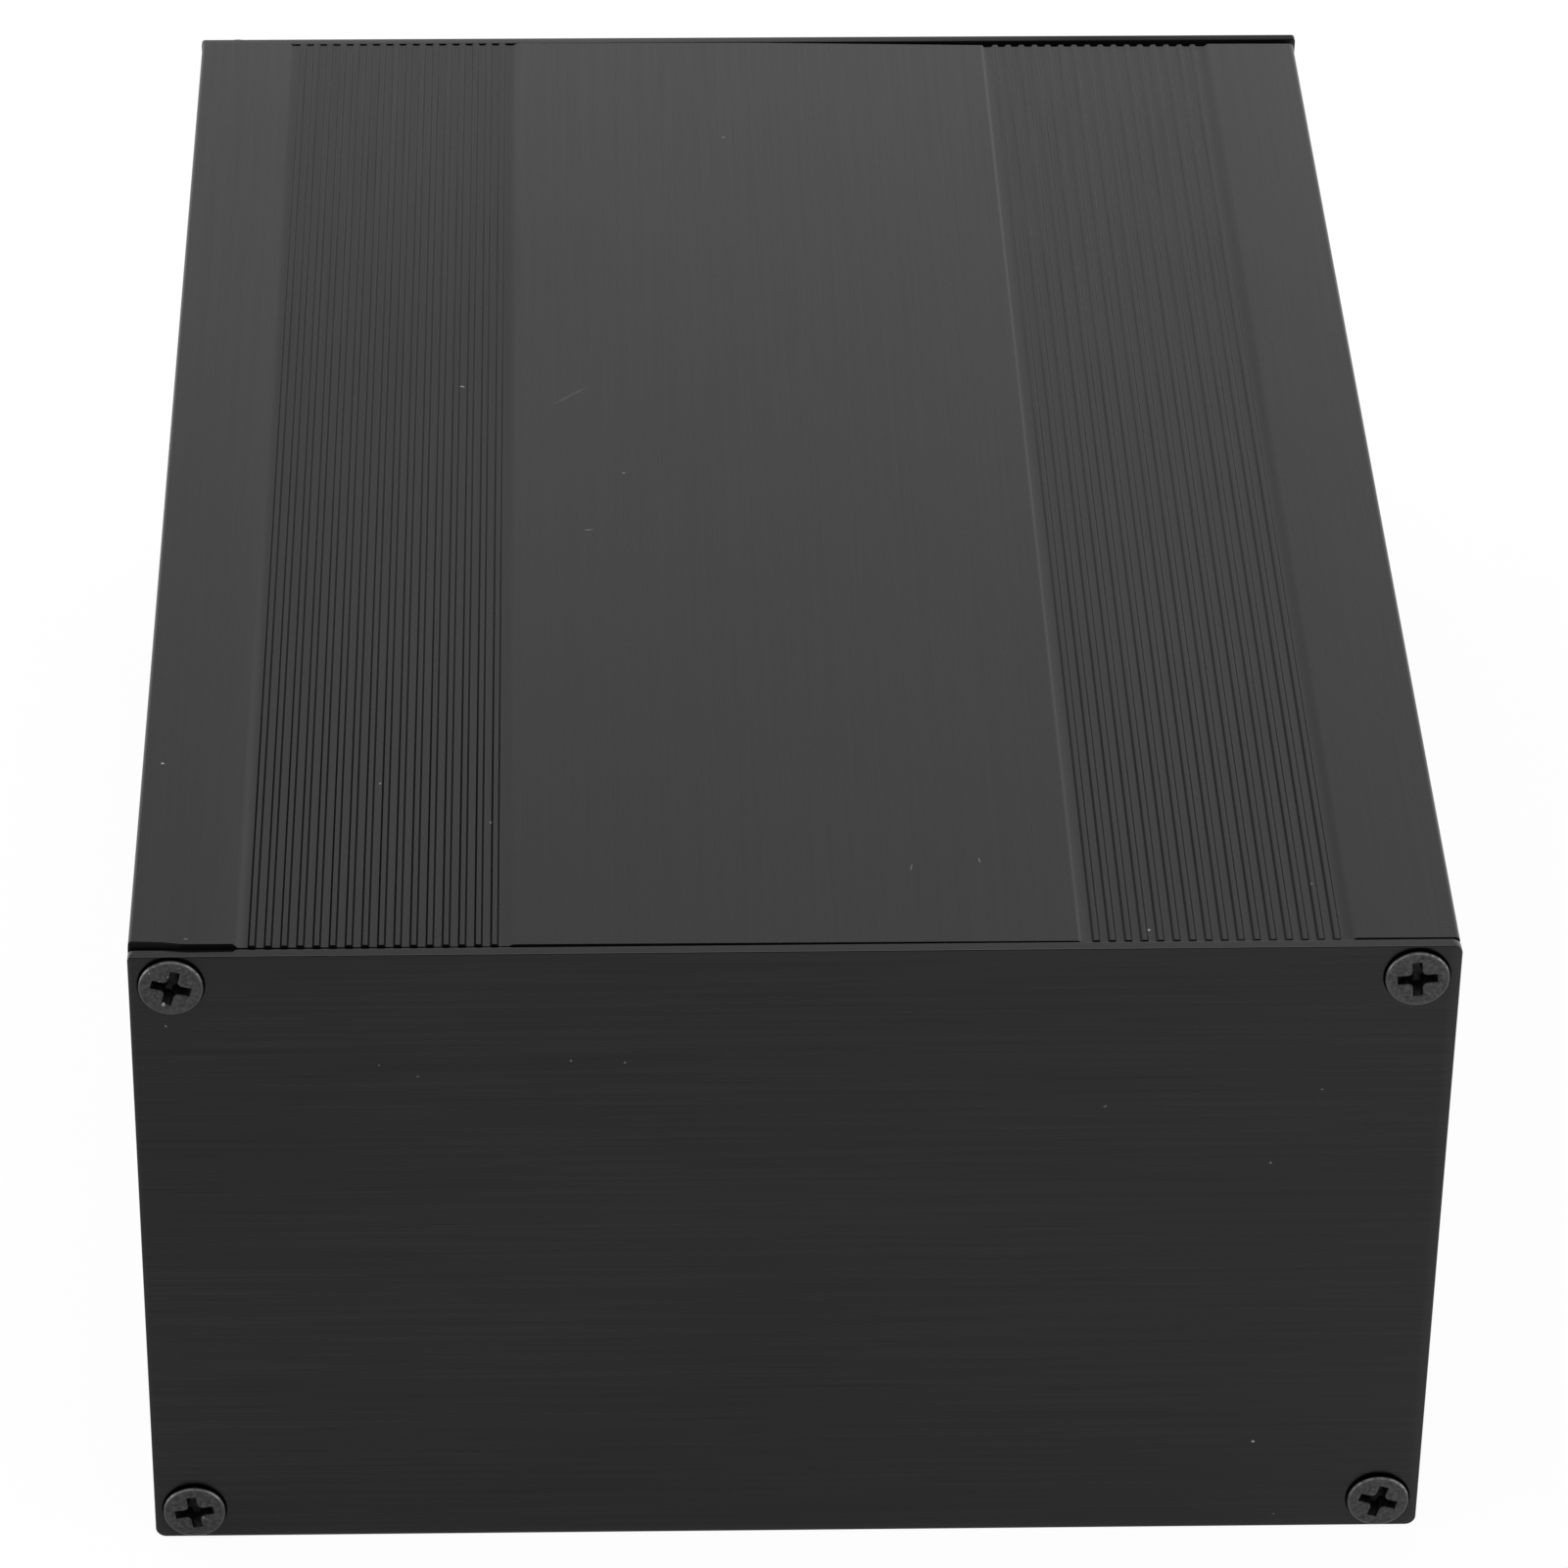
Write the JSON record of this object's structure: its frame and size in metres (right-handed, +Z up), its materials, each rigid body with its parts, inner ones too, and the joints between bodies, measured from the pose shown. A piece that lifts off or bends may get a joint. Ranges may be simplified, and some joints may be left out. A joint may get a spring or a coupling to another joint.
{
  "type": "amplifier chassis",
  "caption": "Rectangular split-shell extruded aluminium instrument enclosure with ribbed bands, card slots and screwed end plates.",
  "frame": {"origin": "under the middle of the case, on the surface it stands on", "axes": "+X to the right as the front plate is seen, +Y along the case from the front plate to the rear plate, +Z up"},
  "size_m": [0.145, 0.211, 0.082],
  "materials": {
    "extrusion": "black anodised, fine lengthwise extrusion lines",
    "end_plate": "black anodised, brushed across the width",
    "screw": "black oxide"
  },
  "bodies": {
    "root": {"upper_shell": "extrusion", "lower_shell": "extrusion", "front_panel": "end_plate", "rear_panel": "end_plate", "front_screw_top_left": "screw", "front_screw_top_right": "screw", "front_screw_bottom_left": "screw", "front_screw_bottom_right": "screw", "rear_screw_top_left": "screw", "rear_screw_top_right": "screw", "rear_screw_bottom_left": "screw", "rear_screw_bottom_right": "screw"}
  },
  "joints": []
}
